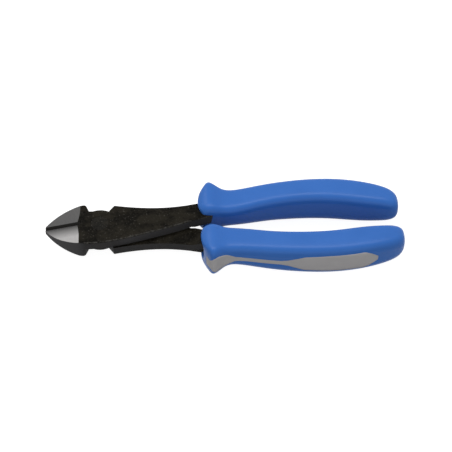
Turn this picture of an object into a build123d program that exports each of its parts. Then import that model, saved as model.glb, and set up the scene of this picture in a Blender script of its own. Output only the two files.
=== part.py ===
from build123d import *
import math
import os

# Diagonal side cutters with a riveted lap joint, in millimetres.
# The pivot axis is Z at the origin. The jaws point to -X and the handles to +X.
# The first half carries the jaw on the -Y side and the handle on the +Y side, and its lap lies on top.
# The second half is the same forging turned over about X, with its jaw ground from the same side.

# Head
jaw_reach = 29.9            # pivot axis to the tip
head_half_width = 14.1
jaw_side_bulge = 2.3        # how far that side bows out from a straight line
nose_half_width = 1.4
nose_radius = 0.9
head_thickness = 10.9
crown_radius = 250.0        # the top of the head is slightly barrelled
tip_top = 1.5               # height of the cutting line at the tip, above mid-plane
tip_bottom = 0.6            # depth of the tip below mid-plane
grind_length = 17.6         # tip to where the ground faces run out on the cutting line
grind_side_slope = 0.05     # fall of the ground faces towards the sides
underside_length = 18.4     # tip to where the tapered underside of the jaws ends
bevel_depth = 1.3           # 45 degree bevel at each cutting edge
relief_angle = 25.0         # how far the jaws open under the cutting edges
edge_gap = 0.04             # light gap between the closed cutting edges

# Lap joint
disc_radius = 9.95
disc_clearance = 0.15
lap_gap = 0.06
rim_angle = 63.5            # the free rim of the disc meets the shoulder here, from +X
shoulder_height = 5.95      # shoulder, from the rim outwards
shoulder_lean = 56.0        # its direction, from +X
shoulder_radius = 0.9
heel_angle = 124.8          # foot of the jaw's rear wall on the disc, from +X
heel_lean = 21.5            # lean of that wall from square
heel_radius = 1.8           # rounding of its outer corner
heel_land = 1.6             # from that corner to the curved side of the jaw
lap_set_in = 0.2            # how far the smooth side of the joint lies inside the jaw's

# Rivet
rivet_radius = 3.5
rivet_head_radius = 4.8
rivet_clearance = 0.04
rivet_set_in = 0.1          # how far the rivet's faces lie inside the crown

# Neck and tang
neck_outer_edge = [(21.4, 11.7), (37.0, 11.3), (54.5, 13.9)]
neck_inner_edge = [(13.5, -11.4), (29.2, -7.0), (43.0, -2.6), (50.0, 0.3), (57.0, 4.4)]
neck_round = 0.9            # rounding of the outer edges along the neck
step_start = 50.4           # where the neck begins to step to mid-plane
step_length = 5.8
tang_thickness = 5.0
tang_width = 8.6
tang_end = 150.0
tang_tip_radius = 3.0
tang_spans = 3              # straight spans along each edge of the tang

# Grip: rounded rectangular sections, whose middle lies off the X axis
grip_front = 55.0
grip_end = 167.7
grip_corner = 5.0           # corner radius of the sections
corner_share = 0.85         # a small section's corners take at most this share of its half width
rim_offset = 12.2
rim_half_width = 7.0
rim_half_height = 5.9
dome_back = 1.3             # the front bulges out from the rim to here
dome_offset = 13.6
dome_half_width = 9.7
dome_half_height = 8.2
guard_back = 5.3            # front rim to the widest section of the finger guard
guard_offset = 16.1
guard_half_width = 12.2
guard_half_height = 10.0
waist_back = 17.4
waist_offset = 14.3
waist_half_width = 9.05
waist_half_height = 7.6
palm_back = 39.4
palm_offset = 18.1
palm_half_width = 9.4
palm_half_height = 8.1
belly_back = 69.0
belly_offset = 20.0
belly_half_width = 9.7
belly_half_height = 8.7
heel_length = 17.8          # the tapering rear end
heel_offset = 16.9
heel_half_width = 9.8
heel_half_height = 8.4
end_offset = 13.4
end_fullness = 2.45         # 2 rounds the rear end as an ellipse, more makes it blunter
sections_round_the_end = (0, 28, 50, 72)   # degrees
section_spacing = 10.0      # longest step between sections

# Liner, inlay and the cut-back inner side of the guard
liner_wall = 1.9
liner_front = 76.0
liner_edge = 1.2
inlay_depth = 1.5
inlay_edge = [              # half outline: distance behind the front rim, half height
    (1.2, 3.3), (3.6, 2.8), (5.8, 5.1), (8.6, 5.8), (11.2, 4.8), (14.2, 3.6), (18.4, 1.6), (24.0, 1.3),
    (43.0, 1.4), (47.0, 2.1), (56.0, 5.1), (69.0, 5.9), (88.5, 6.1), (92.0, 4.4), (96.0, 1.4),
]
slot_half_height = 4.9
slot_bottom = 8.0           # Y of the bottom of the slot
slot_length = 6.9
slot_radius = 2.0

top = head_thickness / 2
reach = 2 * jaw_reach       # larger than any part of the head, for cutting bodies


def polar(radius, angle):
    a = math.radians(angle)
    return (radius * math.cos(a), radius * math.sin(a))


def turned_over(shape):
    return shape.rotate(Axis.X, 180)


def slab(face):
    """A plan face run through the whole thickness of the head."""
    return Pos(0, 0, -top) * extrude(face, amount=head_thickness)


def eased(keys, x):
    """Smooth curve through keys (x, value) that never swings past them."""
    slopes = [(b[1] - a[1]) / (b[0] - a[0]) for a, b in zip(keys, keys[1:])]
    tangents = [slopes[0]]
    for a, b in zip(slopes, slopes[1:]):
        tangents.append(2 * a * b / (a + b) if a * b > 0 else 0.0)
    tangents.append(slopes[-1])
    i = min(sum(1 for k in keys[1:-1] if x >= k[0]), len(slopes) - 1)
    (x0, y0), (x1, y1) = keys[i], keys[i + 1]
    h = x1 - x0
    t = (x - x0) / h
    start = (2 * t**3 - 3 * t**2 + 1) * y0 + (t**3 - 2 * t**2 + t) * h * tangents[i]
    return start + (3 * t**2 - 2 * t**3) * y1 + (t**3 - t**2) * h * tangents[i + 1]


# ---- grip ----


def grip_keys():
    """Key sections of the grip: x, offset, half width, half height."""
    return [
        (grip_front, rim_offset, rim_half_width, rim_half_height),
        (grip_front + dome_back, dome_offset, dome_half_width, dome_half_height),
        (grip_front + guard_back, guard_offset, guard_half_width, guard_half_height),
        (grip_front + waist_back, waist_offset, waist_half_width, waist_half_height),
        (grip_front + palm_back, palm_offset, palm_half_width, palm_half_height),
        (grip_front + belly_back, belly_offset, belly_half_width, belly_half_height),
        (grip_end - heel_length, heel_offset, heel_half_width, heel_half_height),
    ]


def grip_at(x):
    keys = grip_keys()
    return [eased([(k[0], k[i]) for k in keys], x) for i in (1, 2, 3)]


def section(x, offset, half_width, half_height, inset=0.0):
    a, b = half_width - inset, half_height - inset
    radius = min(grip_corner - inset, corner_share * min(a, b))
    plane = Plane(origin=(x, offset, 0), x_dir=(0, 1, 0), z_dir=(1, 0, 0))
    return plane * RectangleRounded(2 * a, 2 * b, radius)


def grip_body(inset=0.0):
    """The upper grip as one closed body. An inset leaves that much of a skin outside it."""
    keys = [k[0] for k in grip_keys()]
    heel = keys[-1]
    sections = []
    for start, end in zip(keys, keys[1:]):
        steps = math.ceil((end - start) / section_spacing)
        for i in range(steps):
            x = start + (end - start) * i / steps
            sections.append(section(x, *grip_at(x), inset))
    for angle in sections_round_the_end:
        back, share = [v ** (2 / end_fullness) for v in polar(1, 90 - angle)]
        x = heel + back * (heel_length - inset)
        offset = heel_offset + back * (end_offset - heel_offset)
        sections.append(section(x, offset, inset + (heel_half_width - inset) * share,
                                inset + (heel_half_height - inset) * share, inset))
    return loft(sections, ruled=True)


def inlay_prism():
    """The inlay's outline, run outwards through the outer side of the grip."""
    half = [(grip_front + back, z) for back, z in inlay_edge]
    outline = Polyline(*half, *[(x, -z) for x, z in reversed(half)], close=True)
    low = rim_offset - grip_corner / 2
    return extrude(Plane.XZ.offset(-low) * make_face(outline), amount=reach, dir=(0, 1, 0))


def tang_edges(start, end, grow=0.0):
    """Corners along the outer and the inner edge of the tang, which follows the middle of the grip."""
    stations = [start + (end - start) * i / tang_spans for i in range(tang_spans + 1)]
    half = tang_width / 2 + grow
    outer = [(x, grip_at(x)[0] + half) for x in stations]
    inner = [(x, grip_at(x)[0] - half) for x in stations]
    return outer, inner


def liner_body():
    """Outside of the hard liner that is moulded round the tang."""
    outer, inner = tang_edges(liner_front, tang_end + liner_wall, liner_wall)
    outline = Polyline(*outer, *reversed(inner), close=True)
    body = extrude(make_face(outline), amount=tang_thickness / 2 + liner_wall, both=True)
    return chamfer(body.edges().group_by(Axis.Z)[0] + body.edges().group_by(Axis.Z)[-1], liner_edge)


def guard_slot():
    """The inner side of the finger guard is cut back between its two lobes."""
    height = 2 * slot_half_height
    length = slot_length + slot_radius
    low = rim_offset - reach
    tool = Pos(grip_front + slot_length - length / 2, low, 0) * Box(
        length, 2 * (slot_bottom - low), height)
    return fillet(tool.edges().filter_by(Axis.X), slot_radius)


def grip(half):
    """Liner, sleeve and inlay of the upper grip, fitted to the half that carries them."""
    body = grip_body()
    liner_outside = liner_body()
    skin = inlay_prism() & (body - grip_body(inlay_depth))
    inlay = skin.solids().sort_by(Axis.Y)[-1]
    sleeve = body - half - liner_outside - inlay - guard_slot()
    return liner_outside - half, sleeve, inlay


# ---- forged halves ----


def shoulder_corner():
    x, y = polar(disc_radius, rim_angle)
    dx, dy = polar(shoulder_height, shoulder_lean)
    return (x + dx, y + dy)


def heel_corner():
    """Outer corner of the jaw's rear wall."""
    x, y = polar(disc_radius, -heel_angle)
    return (x - (head_half_width + y) * math.tan(math.radians(heel_lean)), -head_half_width)


def jaw_side():
    """Curved outer side of a jaw, from the joint to the nose."""
    start, end = (heel_corner()[0] - heel_land, -head_half_width), (-jaw_reach, -nose_half_width)
    run = (end[0] - start[0], end[1] - start[1])
    bulge = jaw_side_bulge / math.hypot(*run)
    middle = ((start[0] + end[0]) / 2 - run[1] * bulge, (start[1] + end[1]) / 2 + run[0] * bulge)
    return ThreePointArc(start, middle, end)


def plan_outline():
    """Plan of the first half: jaw on -Y, disc, shoulder, neck and tang on +Y."""
    y0 = -edge_gap / 2
    disc_start = 180 + math.degrees(math.asin(-y0 / disc_radius))
    throat, rim_end = polar(disc_radius, disc_start), polar(disc_radius, rim_angle)
    tip, nose = (-jaw_reach, y0), (-jaw_reach, -nose_half_width)
    outer, inner = tang_edges(grip_front + waist_back, tang_end)
    side = jaw_side()
    root = (0.0, lap_set_in - head_half_width)
    face = make_face([
        Line(tip, throat),
        CenterArc((0, 0), disc_radius, disc_start, rim_angle - disc_start),
        Line(rim_end, shoulder_corner()),
        Spline(shoulder_corner(), *neck_outer_edge, outer[0]),
        Polyline(*outer, *reversed(inner)),
        Spline(inner[0], *reversed(neck_inner_edge), root, side @ 0),
        side,
        Line(nose, tip),
    ])
    corner = face.vertices().sort_by_distance((*shoulder_corner(), 0))[0]
    face = fillet(corner, shoulder_radius)
    nose_corner = face.vertices().sort_by_distance((*nose, 0))[0]
    face = fillet(nose_corner, nose_radius)
    ends = face.vertices().group_by(Axis.X)[-1]
    return fillet(ends, tang_tip_radius)


def side_outline():
    """Side view of the arm: at the level of the top lap, then down to mid-plane."""
    low, half, step_end = lap_gap / 2, tang_thickness / 2, step_start + step_length
    far = tang_end + reach
    return make_face(Polyline(
        (-reach, low), (step_start, low), (step_end, -half), (far, -half),
        (far, half), (step_end, half), (step_start, top), (-reach, top), close=True,
    ))


def jaw_region():
    """Plan of the full-height jaw, back to its rear wall."""
    foot = polar(disc_radius, -heel_angle)
    lean = math.radians(heel_lean)
    wall = (foot[0] - reach * math.sin(lean), foot[1] - reach * math.cos(lean))
    return make_face(Polyline((0, 0), foot, wall, (-reach - jaw_reach, wall[1]), (-reach - jaw_reach, 0),
                              close=True))


def jaw_plan(plan):
    """The jaw's part of the plan, with the outer corner of its rear wall rounded."""
    face = plan & jaw_region()
    corner = face.vertices().sort_by_distance((*heel_corner(), 0))[0]
    return fillet(corner, heel_radius)


def blank(outer_face):
    """Forging of the first half before its jaw is ground, under the given outer face."""
    plan = plan_outline()
    arm = slab(plan) & extrude(Plane.XZ * side_outline(), amount=reach, both=True) & outer_face
    jaw = slab(jaw_plan(plan)) & outer_face
    recess = Pos(0, 0, lap_gap / 2) * Cylinder(
        disc_radius + disc_clearance, top + lap_gap, align=(Align.CENTER, Align.CENTER, Align.MAX))
    return fillet(outer_edges(arm), neck_round) + (jaw - recess)


def outer_edges(arm):
    """Edges of the arm's outer face along the neck, from the jaw to the tang."""
    curved = [e for e in arm.edges() if e.geom_type == GeomType.BSPLINE and e.length > neck_round]
    ends = [(e, e.bounding_box()) for e in curved]
    step_end = step_start + step_length + lap_gap
    return [e for e, box in ends if box.min.Z > tang_thickness / 2 - lap_gap
            and step_start / 2 < box.max.X < step_end]


def under_crown():
    """Everything under the barrelled top of the head."""
    return Plane(origin=(0, 0, top - crown_radius), z_dir=(1, 0, 0)) * Cylinder(crown_radius, 4 * tang_end)


def above(x, z, slope, side_slope):
    """Half space above a plane that rises with X and falls with Y."""
    plane = Plane(origin=(x, 0, z), x_dir=(1, 0, slope), z_dir=(-slope, side_slope, 1))
    return plane * Box(4 * reach, 2 * reach, reach, align=(Align.CENTER, Align.CENTER, Align.MIN))


def along_edge(points, slope):
    """Prism with a section in YZ at the tip, run back parallel to the cutting line."""
    length = jaw_reach - disc_radius
    start = Plane(origin=(-jaw_reach, 0, 0), x_dir=(0, 1, 0), z_dir=(1, 0, 0))
    face = start * make_face(Polyline(*points, close=True))
    return extrude(face, amount=length, dir=(1, 0, slope))


def ground(half, side):
    """Grinds the jaw on one side (-1 or +1 in Y): top faces, cutting bevel, relief and underside."""
    slope = (top - tip_top) / grind_length
    half -= above(-jaw_reach, tip_top, slope, side * grind_side_slope)
    under_slope = (top - tip_bottom) / underside_length
    half -= turned_over(above(-jaw_reach, tip_bottom, under_slope, 0))
    edge = tip_top - bevel_depth
    over, depth = 2 * bevel_depth, 2 * head_thickness
    bevel = [(0, edge), (side * over, edge + over), (0, edge + over)]
    relief = [(0, edge), (0, edge - depth), (side * depth * math.tan(math.radians(relief_angle)), edge - depth)]
    return half - along_edge(bevel, slope) - along_edge(relief, slope)


def rivet_body():
    """Flush rivet with a countersunk head at each end."""
    face = top - rivet_set_in
    return rivet_hole(0) & Cylinder(rivet_head_radius, 2 * face)


def rivet_hole(clearance):
    """What the rivet fills, and the space above and below it."""
    face = top - rivet_set_in
    neck = face - (rivet_head_radius - rivet_radius)
    r, head = rivet_radius + clearance, rivet_head_radius + clearance
    side = [(0, 0), (r, 0), (r, neck), (head, face), (head, 2 * top), (0, 2 * top)]
    upper = revolve(Plane.XZ * make_face(Polyline(*side, close=True)), Axis.Z)
    return upper + mirror(upper, Plane.XY)


def main():
    flat = Box(4 * tang_end, 4 * tang_end, head_thickness)
    first = ground(blank(under_crown()), -1) - rivet_hole(0)
    second = ground(turned_over(blank(flat)) & under_crown(), 1) - rivet_hole(rivet_clearance)
    nodes = {"half_upper_handle": first, "half_lower_handle": second, "pivot_rivet": rivet_body()}
    for name, piece in zip(("liner", "sleeve", "inlay"), grip(first)):
        nodes["upper_grip_" + name] = piece
        nodes["lower_grip_" + name] = turned_over(piece)
    os.makedirs("parts", exist_ok=True)
    for name, shape in nodes.items():
        export_step(shape, f"parts/{name}.step")


main()
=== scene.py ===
import math

import bmesh
import bpy
from mathutils import Matrix, Vector


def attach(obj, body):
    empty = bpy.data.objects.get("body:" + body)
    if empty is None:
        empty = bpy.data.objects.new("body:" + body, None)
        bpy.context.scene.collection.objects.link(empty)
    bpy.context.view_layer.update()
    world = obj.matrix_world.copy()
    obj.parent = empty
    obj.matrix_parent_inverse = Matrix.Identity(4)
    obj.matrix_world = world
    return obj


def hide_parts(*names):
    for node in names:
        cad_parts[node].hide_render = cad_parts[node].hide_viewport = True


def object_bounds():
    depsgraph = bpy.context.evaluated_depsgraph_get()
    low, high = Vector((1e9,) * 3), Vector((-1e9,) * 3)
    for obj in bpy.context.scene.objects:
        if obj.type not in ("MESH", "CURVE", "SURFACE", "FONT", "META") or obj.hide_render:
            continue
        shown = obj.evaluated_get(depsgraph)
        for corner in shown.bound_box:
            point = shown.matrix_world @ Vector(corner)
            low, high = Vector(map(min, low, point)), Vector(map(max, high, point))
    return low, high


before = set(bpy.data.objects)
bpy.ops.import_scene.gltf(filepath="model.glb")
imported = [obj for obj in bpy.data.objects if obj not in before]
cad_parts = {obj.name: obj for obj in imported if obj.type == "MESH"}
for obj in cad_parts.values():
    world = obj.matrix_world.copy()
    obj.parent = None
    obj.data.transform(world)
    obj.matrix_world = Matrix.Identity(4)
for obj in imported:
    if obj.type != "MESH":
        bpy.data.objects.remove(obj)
cad_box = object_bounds()

MM = 0.001

# Camera: where it looks, from which side, and how it is turned
LOOKS_AT = Vector((69, 0, 0)) * MM
AZIMUTH, ELEVATION, ROLL = -3.043, 47.476, 0.831   # degrees
DISTANCE = 650.0 * MM
PIXELS_PER_MM = 1.805                              # at that distance
CENTRE = (225.037, 226.748)                        # pixel of LOOKS_AT
IMAGE = 452                                        # pixels along each side of the frame
SENSOR = 36                                        # mm
CLIP_START = 0.01

# Lamps: name, place from LOOKS_AT in metres, width and depth in metres, power in watts
LAMPS = (
    ("overhead", (0, 0.26, 0.8), (0.9, 0.22), 4.15),
    ("back_left", (-0.5, 0.75, 0.85), (0.5, 0.4), 1.5),
    ("low_front", (0, -0.85, 0.4), (1.4, 0.7), 2.1),
)
WORLD_LIGHT = 0.3          # strength of the world's soft light. As a background it is 1
FLOOR_HALF = 3             # metres
FLOOR_GREYS = (0.36, 0.38)
FLOOR_LIFT = 0.93          # share of white added where the floor is seen

# Both halves of the tool: side, body, and turn about X from the upper one
SIDES = (("upper", "first_half", 0), ("lower", "second_half", math.pi))

# Rings of the upper grip's cage, in mm: x, middle, half width, half height, corner radius
FRONT_RINGS = [
    (57.5, 12.2, 5.8, 4.6, 2.5),
    (55.2, 12.2, 6.3, 5.1, 3.0),
    (54.4, 12.4, 7.2, 6.1, 3.5),
    (54.7, 12.9, 8.5, 7.2, 4.0),
    (56.0, 13.7, 9.9, 8.4, 4.5),
    (58.2, 15.2, 11.4, 9.5, 5.0),
]
BACK_RINGS = [
    (60.3, 16.1, 12.5, 10.0, 5.0),
    (62.3, 16.0, 12.3, 9.9, 5.0),
    (64.8, 15.3, 11.2, 9.0, 4.5),
    (68.4, 14.5, 9.6, 7.8, 4.5),
    (73.0, 14.3, 9.3, 7.4, 4.5),
    (80.0, 15.3, 9.1, 7.9, 4.5),
    (88.0, 17.0, 8.9, 8.5, 4.5),
    (96.0, 18.4, 8.7, 9.0, 4.5),
    (106.0, 19.5, 8.7, 9.5, 4.5),
    (117.0, 20.1, 8.8, 9.8, 4.5),
    (128.0, 19.9, 9.0, 9.9, 4.5),
    (138.0, 18.7, 9.2, 9.9, 4.5),
    (147.0, 17.2, 9.1, 9.6, 4.5),
    (154.5, 15.9, 8.6, 9.0, 4.5),
    (160.5, 14.6, 7.9, 8.3, 4.5),
    (164.4, 13.6, 6.9, 7.1, 4.5),
    (166.4, 13.0, 5.2, 5.4, 4.0),
    (166.95, 12.8, 2.6, 2.8, 2.1),
]
RIM, GUARD, WAIST = FRONT_RINGS[2][0], BACK_RINGS[0][0], BACK_RINGS[5][0]   # x of these three rings
GRIP_LEVELS = 3            # subdivisions of the cage
CORNER_ANGLES = (0, 30, 60, 90)             # points on each corner of a ring, in degrees
UPRIGHT_SIDE = (0.7, 0, -0.7)               # and on its two upright sides, as shares of the height
INNER_LEAN = 3.2           # how far the guard's front leans back at its inner side
OUTER_LEAN = 1.6           # and at its outer side
PUSHED_ON = {"upper": -0.5, "lower": 0.6}   # how far each guard sits behind its rings' place
SLOT_COLUMNS = (9, 10, 11)                  # the three points of a ring on its inner side
SLOT_BACK = 61.9           # the guard's inner side is cut back to here between its two lobes
SLOT_BOTTOM = 8.0          # Y of the bottom of that slot

# Root of the neck inside the finger guard, upper half, in mm:
# x, Y of the inner wall's top edge, Y of its foot
ROOT_INNER = [
    (48.5, -0.6, 0.4), (52.4, 0.4, 2.3), (55.5, 1.3, 4.0),
    (57.9, 2.0, 5.0), (61.4, 3.3, 6.0), (62.5, 3.6, 6.3),
]
ROOT_OUTER = [(62.5, 13.8), (57.0, 13.8), (54.5, 13.5), (49.5, 12.4)]
ROOT_EDGE, ROOT_EDGE_SEGMENTS = 0.8, 3      # rounding of the inner wall's top edge
ROOT_LOW = 0.06            # its foot lies this far from mid-plane
HEAD_TOP, CROWN_RADIUS = 5.45, 250.0

# Half outline of the inlay, in mm: distance behind the front rim, half height
PAD_OUTLINE = [
    (1.2, 3.3), (3.6, 2.8), (5.8, 5.1), (8.6, 5.8), (11.2, 4.8),
    (14.2, 3.6), (18.4, 1.6), (24.0, 1.3), (43.0, 1.4), (47.0, 2.1),
    (56.0, 5.1), (69.0, 5.9), (88.5, 6.1), (92.0, 4.4), (96.0, 1.4),
]
GRIP_FRONT = 55.0
PAD_STATIONS, PAD_ROWS = 96, 8
PAD_PROUD, PAD_THICKNESS = 0.1, 1.2

# Colours of the steel
SKIN_DARK, SKIN_PALE = (0.002, 0.0016, 0.0008), (0.0165, 0.0142, 0.0098)   # clouds of the skin
SKIN_GRAIN = (0.026, 0.023, 0.018)
SKIN_SPECK = (0.085, 0.08, 0.07)
# worn edges with a painted highlight
WORN_EDGE_AND_HIGHLIGHT = (0.075, 0.072, 0.067)
# painted light on the neck's undercut inner wall, which lies in shade
PAINTED_WALL_LIGHT = (0.055, 0.054, 0.056)
# greyer upright sides: the jaws' dressing, and painted sheen on every upright side
DRESSED_SIDE_AND_SHEEN = (0.085, 0.084, 0.088)
# painted shade and dark reflection on the cutting edge's bevel
PAINTED_BEVEL_SHADE = (0.022, 0.021, 0.02)
GRINDING_LINE = (0.12, 0.118, 0.116)
TURNING_RING = (0.05, 0.049, 0.046)
STEEL_GLOSS = 0.03         # specular level of the skin
TURNING_PITCH = 2.2        # mm

# Where a finish or a painted light of the halves begins and where it is full, in mm along X
GROUND = (-10.5, -11.2)
DRESSED = (-7.5, -12)
NECK_WALL = (9, 14)
FACET_REFLECTION_SPAN = (1.5, 8.5)      # and along Y, for the painted reflection on a ground facet

# ---- materials ----


def new_material(name):
    """A material with its node tree and its Principled shader."""
    material = bpy.data.materials.new(name)
    material.use_nodes = True
    tree = material.node_tree
    return material, tree, tree.nodes["Principled BSDF"]


def feed(tree, made, inputs):
    """Sets the inputs of a node. A value that is another node's output is linked."""
    for key, value in inputs.items():
        if isinstance(value, bpy.types.NodeSocket):
            tree.links.new(value, made.inputs[key])
        else:
            made.inputs[key].default_value = value


def node(tree, kind, inputs=None, **settings):
    """A node with its settings and inputs."""
    made = tree.nodes.new("ShaderNode" + kind)
    for key, value in settings.items():
        setattr(made, key, value)
    feed(tree, made, inputs or {})
    return made


def place(tree):
    """Place on the piece, in metres, which stays with it when it moves."""
    return node(tree, "TexCoord").outputs["Object"]


def split(tree, vector):
    """X, Y and Z of a vector."""
    return node(tree, "SeparateXYZ", {0: vector}).outputs


def noise(tree, size, detail=2.0, rough=0.5, stretch=(1, 1, 1)):
    """Noise with a grain of that size in mm."""
    spread = node(tree, "Mapping", {"Vector": place(tree), "Scale": stretch})
    made = node(tree, "TexNoise", {"Vector": spread.outputs[0], "Scale": 1 / (size * MM),
                                   "Detail": detail, "Roughness": rough})
    return made.outputs["Fac"]


def ramp(tree, value, low, high, a=0.0, b=1.0):
    """Maps low..high of a value to a..b, held at the ends."""
    return node(tree, "MapRange", {"Value": value, "From Min": low, "From Max": high,
                                   "To Min": a, "To Max": b}).outputs[0]


def ramp_mm(tree, value, span, a=0.0, b=1.0):
    """The same for a place, between two places in mm."""
    return ramp(tree, value, span[0] * MM, span[1] * MM, a, b)


def math_node(tree, operation, a, b=0.0):
    return node(tree, "Math", {0: a, 1: b}, operation=operation).outputs[0]


def times(tree, product, *factors):
    """All the values multiplied."""
    for factor in factors:
        product = math_node(tree, "MULTIPLY", product, factor)
    return product


def size_of(tree, value):
    """A value without its sign."""
    return math_node(tree, "ABSOLUTE", value)


def blend(tree, share, a, b):
    """Value a where the share is 0 and b where it is 1."""
    return node(tree, "Mix", {0: share, 2: a, 3: b}).outputs[0]


def blend_colour(tree, share, a, b):
    """Colour a where the share is 0 and b where it is 1."""
    made = node(tree, "Mix", data_type="RGBA")
    sockets = {s.name: s for s in made.inputs if s.enabled}
    for name, value in (("Factor", share), ("A", a), ("B", b)):
        if isinstance(value, bpy.types.NodeSocket):
            tree.links.new(value, sockets[name])
        else:
            sockets[name].default_value = value if name == "Factor" else (*value, 1)
    return next(s for s in made.outputs if s.enabled)


def grey(level):
    return (level, level, level)


def bump(tree, height, depth, edge=0.0):
    """Surface relief: a height from 0 to 1 stands for that depth in mm.
    Edges are eased by a radius in mm."""
    inputs = {"Height": height, "Distance": depth * MM, "Strength": 1.0}
    if edge:
        inputs["Normal"] = node(tree, "Bevel", {"Radius": edge * MM}, samples=4).outputs[0]
    return node(tree, "Bump", inputs).outputs[0]


def worn_and_highlit_edges(tree):
    """1 on the rounded edges of the top, which face up and to the side, and 0 on the flat and
    upright faces. There the skin is worn and a highlight is painted."""
    facing = split(tree, node(tree, "TexCoord").outputs["Normal"])
    up, aside = facing["Z"], size_of(tree, facing["Y"])
    return times(tree, ramp(tree, up, 0.985, 0.9), ramp(tree, up, 0.3, 0.6),
                 ramp(tree, aside, 0.1, 0.2))


def black_phosphate(tree):
    """Colour and grain of forged steel with a black phosphate skin, worn at its edges, with a
    painted highlight there.
    """
    cloud = noise(tree, size=8, detail=6, rough=0.7, stretch=(0.6, 1, 1))
    grain = noise(tree, size=1.3, detail=4, rough=0.7)
    speck = ramp(tree, noise(tree, size=0.8, detail=1, rough=0.4), 0.67, 0.73, 0.0, 0.6)
    skin = blend_colour(tree, ramp(tree, cloud, 0.43, 0.59), SKIN_DARK, SKIN_PALE)
    skin = blend_colour(tree, ramp(tree, grain, 0.45, 0.75, 0.0, 0.55), skin, SKIN_GRAIN)
    skin = blend_colour(tree, speck, skin, SKIN_SPECK)
    # wear and painted highlight on the rounded top edges
    wear_and_highlight = times(tree, worn_and_highlit_edges(tree), ramp(tree, grain, 0.42, 0.58, 0.15, 0.9))
    return blend_colour(tree, wear_and_highlight, skin, WORN_EDGE_AND_HIGHLIGHT), grain


def forged_steel(name, near, far, inner):
    """Black phosphated half. Its ground jaw carries a painted reflection, from one grey at the
    cutting edge (near) to another outwards (far). Light is painted on the neck's inner wall, which
    faces -Y (inner is -1) or +Y (1)."""
    material, tree, shader = new_material(name)
    skin, grain = black_phosphate(tree)
    coord = node(tree, "TexCoord").outputs
    at, facing = split(tree, coord["Object"]), split(tree, coord["Normal"])
    aside = size_of(tree, facing["Y"])
    upright = ramp(tree, size_of(tree, facing["Z"]), 0.4, 0.2)
    on_jaw = ramp_mm(tree, at["X"], GROUND)

    # upright sides are duller and greyer, most of all on the jaws: the jaws' sides are ground by
    # dressing, and on all upright sides a painted sheen lightens the skin
    dressed_and_sheen = times(tree, upright, ramp_mm(tree, at["X"], DRESSED, 0.45, 0.85))
    skin = blend_colour(tree, dressed_and_sheen, skin, DRESSED_SIDE_AND_SHEEN)
    # the bevel of the cutting edge is ground too, and its colour is painted shade and dark
    # reflection
    bevel = times(tree, ramp(tree, facing["Z"], 0.2, 0.3), on_jaw, ramp(tree, aside, 0.4, 0.5))
    skin = blend_colour(tree, bevel, skin, PAINTED_BEVEL_SHADE)
    # painted light on the neck's inner wall, which faces the other half and lies in shade
    wall = times(tree, upright, ramp_mm(tree, at["X"], NECK_WALL),
                 ramp(tree, facing["Y"], 0.4 * inner, 0.8 * inner), 0.8)
    skin = blend_colour(tree, wall, skin, PAINTED_WALL_LIGHT)

    # a ground facet falls towards the tip, faces up and isn't that bevel
    ground = times(tree, ramp(tree, facing["X"], -0.11, -0.17), ramp(tree, facing["Z"], 0.4, 0.6),
                   ramp(tree, aside, 0.4, 0.25), on_jaw)
    lines = noise(tree, size=0.09, stretch=(1, 0.02, 1))
    # painted reflection on the ground facet: one grey at the cutting edge, another outwards
    painted_facet_reflection = blend_colour(tree, ramp_mm(tree, size_of(tree, at["Y"]), FACET_REFLECTION_SPAN),
                          grey(near), (far, far * 0.98, far * 0.97))
    painted_facet_reflection = blend_colour(tree, ramp(tree, lines, 0.3, 0.7, 0.0, 0.3), painted_facet_reflection, GRINDING_LINE)

    relief = blend(tree, ground, grain, times(tree, lines, 0.2))
    feed(tree, shader, {
        "Base Color": blend_colour(tree, ground, skin, painted_facet_reflection),
        "Metallic": times(tree, ground, 0.95),
        "Roughness": blend(tree, ground, ramp(tree, grain, 0.3, 0.7, 0.34, 0.55),
                           ramp(tree, lines, 0.3, 0.7, 0.3, 0.42)),
        "Normal": bump(tree, relief, depth=0.02, edge=0.2),
        "Specular IOR Level": STEEL_GLOSS,
    })
    return material


def turned_steel():
    """Rivet: black phosphated over fine turning rings."""
    material, tree, shader = new_material("rivet_steel")
    skin, grain = black_phosphate(tree)
    rings = node(tree, "TexWave",
                 {"Vector": place(tree), "Scale": 1 / (TURNING_PITCH * MM), "Distortion": 0.3},
                 wave_type="RINGS", rings_direction="Z").outputs["Fac"]
    ringed = ramp(tree, rings, 0.2, 0.9, 0.0, 0.35)
    relief = math_node(tree, "ADD", times(tree, rings, 0.5), grain)
    feed(tree, shader, {
        "Base Color": blend_colour(tree, ringed, skin, TURNING_RING),
        "Roughness": ramp(tree, grain, 0.3, 0.7, 0.36, 0.5),
        "Normal": bump(tree, relief, depth=0.015),
        "Specular IOR Level": STEEL_GLOSS,
    })
    return material


def moulded(name, light, dark, rough, grain_size, depth, specular):
    """Moulded plastic: two close tones, a fine matt grain and uneven gloss."""
    material, tree, shader = new_material(name)
    cloud = noise(tree, size=14, detail=3)
    grain = noise(tree, size=grain_size, rough=0.6)
    feed(tree, shader, {
        "Base Color": blend_colour(tree, ramp(tree, cloud, 0.3, 0.7), dark, light),
        "Roughness": ramp(tree, cloud, 0.3, 0.7, rough - 0.04, rough + 0.04),
        "Normal": bump(tree, grain, depth),
        "Specular IOR Level": specular,
    })
    return material


def background_share(tree):
    """1 on rays that show a background: those of the camera, of a reflection or through glass."""
    path = node(tree, "LightPath").outputs
    share = math_node(tree, "ADD", path["Is Camera Ray"], path["Is Glossy Ray"])
    return ramp(tree, math_node(tree, "ADD", share, path["Is Transmission Ray"]), 0, 1)


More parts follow.
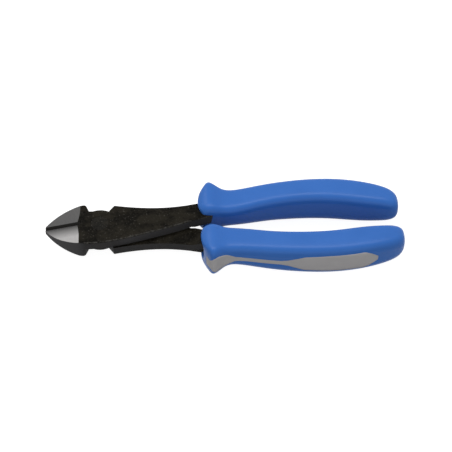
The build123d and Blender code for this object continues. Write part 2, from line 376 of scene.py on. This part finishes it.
def pale_floor():
    """White floor. Where it is seen, it is lifted towards white, so that only its shadows show."""
    material, tree, shader = new_material("pale_floor")
    feed(tree, shader, {
        "Base Color": blend_colour(tree, noise(tree, size=60), *map(grey, FLOOR_GREYS)),
        "Roughness": 0.9,
        "Specular IOR Level": 0.1,
        "Emission Color": (1, 1, 1, 1),
        "Emission Strength": times(tree, background_share(tree), FLOOR_LIFT),
    })
    return material


# ---- grips and neck roots ----


def section(half_width, half_height, radius):
    """Points round a rounded rectangle: four on each corner, one or three on each side between."""
    points = []
    for turn, (across, up) in enumerate(((1, 1), (-1, 1), (-1, -1), (1, -1))):
        for angle in CORNER_ANGLES:
            a = math.radians(90 * turn + angle)
            points.append((across * (half_width - radius) + radius * math.cos(a),
                           up * (half_height - radius) + radius * math.sin(a)))
        if turn % 2:
            side = (half_height - radius) * up
            points += [(across * half_width, share * side) for share in UPRIGHT_SIDE]
        else:
            points.append((0, up * half_height))
    return points


def set_ring(ring, x, middle, half_width, half_height, radius):
    """Puts a ring of vertices on one section of the grip."""
    for vert, (across, up) in zip(ring, section(half_width, half_height, radius)):
        vert.co = (x, middle + across, up)


def ring_edges(ring):
    """The edges from each vertex of a ring to the next."""
    return [e for a, b in zip(ring, ring[1:] + ring[:1]) for e in a.link_edges
            if e.other_vert(a) == b]


def extruded_verts(made):
    """The new vertices that an extrusion gives."""
    return {v for v in made["geom"] if isinstance(v, bmesh.types.BMVert)}


def share_before(x, full, none):
    """1 up to the first place and 0 from the second on."""
    return min(max((none - x) / (none - full), 0), 1)


def lean_back(ring, x, middle, half_width):
    """Sets both sides of a front ring back. The lean dies out at the widest section."""
    for vert in ring:
        outwards = (vert.co.y - middle) / half_width
        lean = OUTER_LEAN * outwards ** 2 if outwards > 0 else INNER_LEAN * -outwards ** 3
        vert.co.x += lean * share_before(x, RIM, GUARD)


def cut_slot(ring, share):
    """Moves the inner side of a front ring onto the back wall of the slot, from its bottom (0)
    outwards (1)."""
    middle, half_width = BACK_RINGS[0][1:3]
    for i in SLOT_COLUMNS:
        ring[i].co.x = SLOT_BACK
        ring[i].co.y = SLOT_BOTTOM + share * (middle - half_width - SLOT_BOTTOM)


def grip_cage(set_back):
    """Cage of the upper grip, in mm: a ring of vertices extruded from section to section.
    Its guard is set back a little, which dies out towards the waist."""
    cage = bmesh.new()
    count = len(section(*FRONT_RINGS[0][2:]))
    ring = list(bmesh.ops.create_circle(cage, segments=count, radius=1)["verts"])
    for i, key in enumerate(FRONT_RINGS + BACK_RINGS):
        if i:
            new = extruded_verts(bmesh.ops.extrude_edge_only(cage, edges=ring_edges(ring)))
            ring = [next(e.other_vert(v) for e in v.link_edges if e.other_vert(v) in new)
                    for v in ring]
        set_ring(ring, key[0] + set_back * share_before(key[0], GUARD, WAIST), *key[1:])
        if i < len(FRONT_RINGS):
            lean_back(ring, *key[:3])
            cut_slot(ring, i / len(FRONT_RINGS))
    bmesh.ops.contextual_create(cage, geom=ring_edges(ring))
    bmesh.ops.recalc_face_normals(cage, faces=cage.faces)
    return cage


def between(rows, x):
    """Values of a table at x, straight between its rows."""
    if x <= rows[0][0]:
        return rows[0][1:]
    for a, b in zip(rows, rows[1:]):
        if x <= b[0]:
            t = (x - a[0]) / (b[0] - a[0])
            return [p + t * (q - p) for p, q in zip(a[1:], b[1:])]
    return rows[-1][1:]


def pad_sheet(set_back):
    """Sheet in the inlay's outline, laid on the outer side of the upper grip, in mm."""
    sheet = bmesh.new()
    bmesh.ops.create_grid(sheet, x_segments=PAD_STATIONS, y_segments=PAD_ROWS, size=1)
    start, end = PAD_OUTLINE[0][0], PAD_OUTLINE[-1][0]
    for vert in sheet.verts:
        back = start + (vert.co.x + 1) / 2 * (end - start)
        up = vert.co.y * between(PAD_OUTLINE, back)[0]
        x = GRIP_FRONT + back
        middle, half_width, half_height, radius = between(FRONT_RINGS[2:] + BACK_RINGS, x)
        over = min(max(abs(up) - (half_height - radius), 0), radius)
        out = middle + half_width - radius + math.sqrt(radius ** 2 - over ** 2)
        x += set_back * share_before(x, GUARD, WAIST) + OUTER_LEAN * share_before(x, RIM, GUARD)
        vert.co = (x, out, up)
    bmesh.ops.recalc_face_normals(sheet, faces=sheet.faces)
    if sum(face.normal.y for face in sheet.faces) < 0:
        bmesh.ops.reverse_faces(sheet, faces=sheet.faces)
    return sheet


def neck_root(crowned):
    """The thick part of the upper neck, in mm, with a crowned or a flat top."""
    block = bmesh.new()
    plan = [row[:2] for row in ROOT_INNER] + ROOT_OUTER
    sheet = block.faces.new([block.verts.new((x, y, ROOT_LOW)) for x, y in plan])
    raised = extruded_verts(bmesh.ops.extrude_face_region(block, geom=[sheet]))
    for vert in raised:
        vert.co.z = HEAD_TOP - (vert.co.y ** 2 / (2 * CROWN_RADIUS) if crowned else 0)
    for vert, row in zip(sheet.verts, ROOT_INNER):
        vert.co.y = row[2]
    halfway = ROOT_OUTER[0][1] / 2
    rim = [e for e in block.edges if all(v in raised and v.co.y < halfway for v in e.verts)]
    bmesh.ops.bevel(block, geom=rim, offset=ROOT_EDGE, affect="EDGES",
                    segments=ROOT_EDGE_SEGMENTS, profile=0.5, material=-1)
    bmesh.ops.recalc_face_normals(block, faces=block.faces)
    return block


def linked(name, bm, material, smooth=False):
    """Turns a bmesh in metres into an object of the scene."""
    mesh = bpy.data.meshes.new(name)
    bm.to_mesh(mesh)
    bm.free()
    for face in mesh.polygons:
        face.use_smooth = smooth
    mesh.materials.append(material)
    made = bpy.data.objects.new(name, mesh)
    bpy.context.collection.objects.link(made)
    return made


def add_piece(name, bm, material, body, smooth=True):
    """Turns a bmesh in mm into a piece that rides on a body."""
    bmesh.ops.scale(bm, vec=(MM, MM, MM), verts=bm.verts)
    piece = linked(name, bm, material, smooth)
    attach(piece, body)
    return piece


def turn_over(bm, turn):
    """Turns a shape made for the upper half about X."""
    bmesh.ops.rotate(bm, verts=bm.verts, matrix=Matrix.Rotation(turn, 3, "X"))
    return bm


def add_neck_roots(steels):
    """The neck runs on at its full height into the slot of the finger guard. The tool's top is
    crowned and its underside is flat."""
    for side, body, turn in SIDES:
        block = turn_over(neck_root(crowned=side == "upper"), turn)
        add_piece(side + "_neck_root", block, steels[side], body, smooth=False)


def add_grips(blue, grey_plastic):
    """Soft grips with their inlays, in place of the plain sleeves."""
    for side, body, turn in SIDES:
        cage = turn_over(grip_cage(PUSHED_ON[side]), turn)
        sheet = turn_over(pad_sheet(PUSHED_ON[side]), turn)
        sleeve = add_piece(side + "_soft_grip", cage, blue, body)
        smoothed = sleeve.modifiers.new("smooth", "SUBSURF")
        smoothed.levels = smoothed.render_levels = GRIP_LEVELS
        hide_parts(side + "_grip_sleeve")
        pad = add_piece(side + "_grip_pad", sheet, grey_plastic, body)
        laid = pad.modifiers.new("laid on the grip", "SHRINKWRAP")
        laid.target = sleeve
        laid.wrap_method = "NEAREST_SURFACEPOINT"
        laid.wrap_mode = "ABOVE_SURFACE"
        laid.offset = PAD_PROUD * MM
        thick = pad.modifiers.new("thickness", "SOLIDIFY")
        thick.thickness = PAD_THICKNESS * MM
        thick.offset = -1
        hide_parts(side + "_grip_inlay")


# ---- studio ----


def add_camera():
    a, e, r = (math.radians(v) for v in (AZIMUTH, ELEVATION, ROLL))
    forward = Vector((-math.sin(a) * math.cos(e), math.cos(a) * math.cos(e), -math.sin(e)))
    level = Vector((math.cos(a), math.sin(a), 0))
    rise = level.cross(forward)
    right = math.cos(r) * level + math.sin(r) * rise
    up = -math.sin(r) * level + math.cos(r) * rise
    data = bpy.data.cameras.new("camera")
    camera = bpy.data.objects.new("camera", data)
    bpy.context.collection.objects.link(camera)
    turned = Matrix((right, up, -forward)).transposed().to_4x4()
    camera.matrix_world = Matrix.Translation(LOOKS_AT - forward * DISTANCE) @ turned
    data.sensor_width = SENSOR
    data.lens = PIXELS_PER_MM * (DISTANCE / MM) / IMAGE * SENSOR
    data.shift_x = (IMAGE / 2 - CENTRE[0]) / IMAGE
    data.shift_y = (CENTRE[1] - IMAGE / 2) / IMAGE
    data.clip_start = CLIP_START
    bpy.context.scene.camera = camera


def add_lamp(name, offset, size, power):
    """A lamp at that place from LOOKS_AT, turned towards it."""
    data = bpy.data.lights.new(name, "AREA")
    data.shape = "RECTANGLE"
    data.size, data.size_y = size
    data.energy = power
    lamp = bpy.data.objects.new(name, data)
    bpy.context.collection.objects.link(lamp)
    lamp.location = LOOKS_AT + Vector(offset)
    lamp.rotation_euler = (-Vector(offset)).to_track_quat("-Z", "Y").to_euler()


def add_studio():
    floor = bmesh.new()
    bmesh.ops.create_grid(floor, x_segments=1, y_segments=1, size=FLOOR_HALF)
    bmesh.ops.translate(floor, verts=floor.verts, vec=(0, 0, cad_box[0][2]))
    sheet = linked("floor", floor, pale_floor())
    for lamp in LAMPS:
        add_lamp(*lamp)
    world = bpy.data.worlds.new("studio")
    world.use_nodes = True
    tree = world.node_tree
    feed(tree, tree.nodes["Background"], {
        "Color": (1, 1, 1, 1),
        "Strength": ramp(tree, background_share(tree), 0, 1, WORLD_LIGHT, 1.0),
    })
    bpy.context.scene.world = world
    bpy.context.scene.view_settings.view_transform = "Standard"


def paint(name, material):
    """Gives a CAD node its material."""
    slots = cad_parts[name].data.materials
    slots.clear()
    slots.append(material)


def main():
    add_camera()
    steels = {
        # lit and shaded copies: the first half's facet has a painted reflection from dark to pale
        # grey, the second half's facet a dull grey all over
        "upper": forged_steel("black_steel", near=0.017, far=0.21, inner=-1),
        "lower": forged_steel("black_steel_of_second_half", near=0.052, far=0.058, inner=1),
    }
    rivet = turned_steel()
    blue = moulded("blue_grip", light=(0.044, 0.172, 0.565), dark=(0.040, 0.162, 0.54),
                   rough=0.32, grain_size=0.35, depth=0.006, specular=0.14)
    grey_plastic = moulded("grey_inlay", light=(0.51, 0.50, 0.505), dark=(0.47, 0.46, 0.465),
                           rough=0.62, grain_size=0.4, depth=0.015, specular=0.15)
    liner = moulded("hard_liner", light=(0.03, 0.09, 0.3), dark=(0.025, 0.08, 0.27),
                    rough=0.5, grain_size=0.5, depth=0.01, specular=0.3)
    paint("pivot_rivet", rivet)
    for side, _, _ in SIDES:
        paint(f"half_{side}_handle", steels[side])
        paint(side + "_grip_liner", liner)
        paint(side + "_grip_sleeve", blue)
        paint(side + "_grip_inlay", grey_plastic)
    add_grips(blue, grey_plastic)
    add_neck_roots(steels)
    add_studio()


main()
